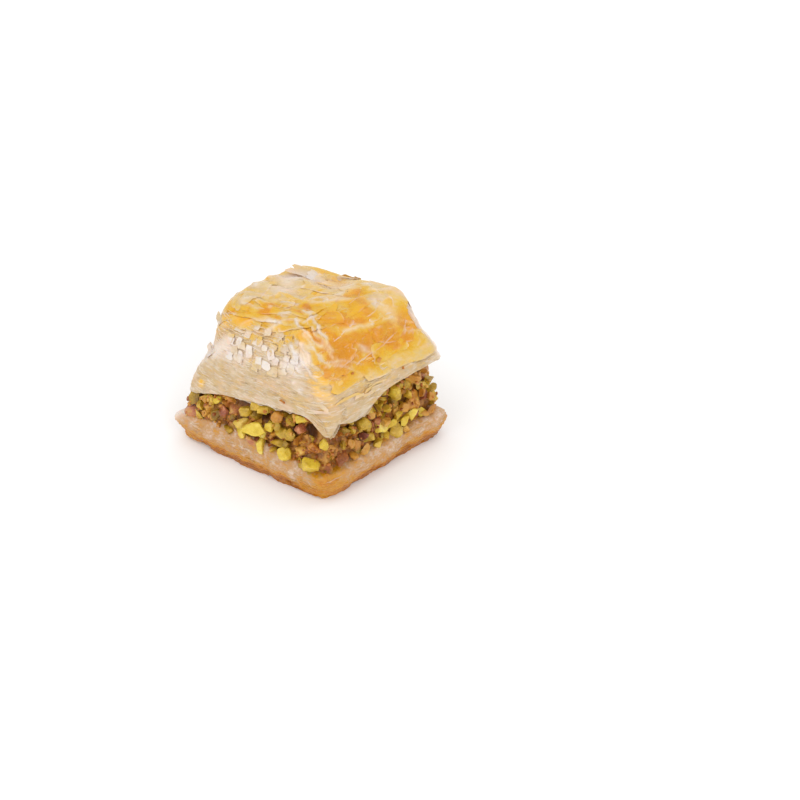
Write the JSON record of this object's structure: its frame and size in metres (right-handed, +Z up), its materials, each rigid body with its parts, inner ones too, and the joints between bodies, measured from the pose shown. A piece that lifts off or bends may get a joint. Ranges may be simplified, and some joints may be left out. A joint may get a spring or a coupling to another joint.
{
  "type": "baklava",
  "caption": "Diamond-cut piece of layered pastry: syrup-soaked base, chopped pistachio filling that shows at every cut side, and a tall flaky golden top.",
  "frame": {"origin": "middle of the bounding box on the surface that the piece rests on", "axes": "+Z up; X along the long front cut; -Y towards the front cut face; the blunt near corner is at +X and -Y"},
  "size_m": [0.0654, 0.0506, 0.0479],
  "materials": {
    "syrupy_pastry": "amber sheets of dough soaked flat and sticky with syrup",
    "chopped_pistachio": "chopped green and yellow kernels with purple-brown skins, moist with syrup",
    "golden_pastry": "crisp thin sheets, golden and glazed on top, cream at the cut"
  },
  "bodies": {
    "root": {"base_pastry": "syrupy_pastry", "pistachio_filling": "chopped_pistachio", "top_pastry": "golden_pastry"}
  },
  "joints": []
}
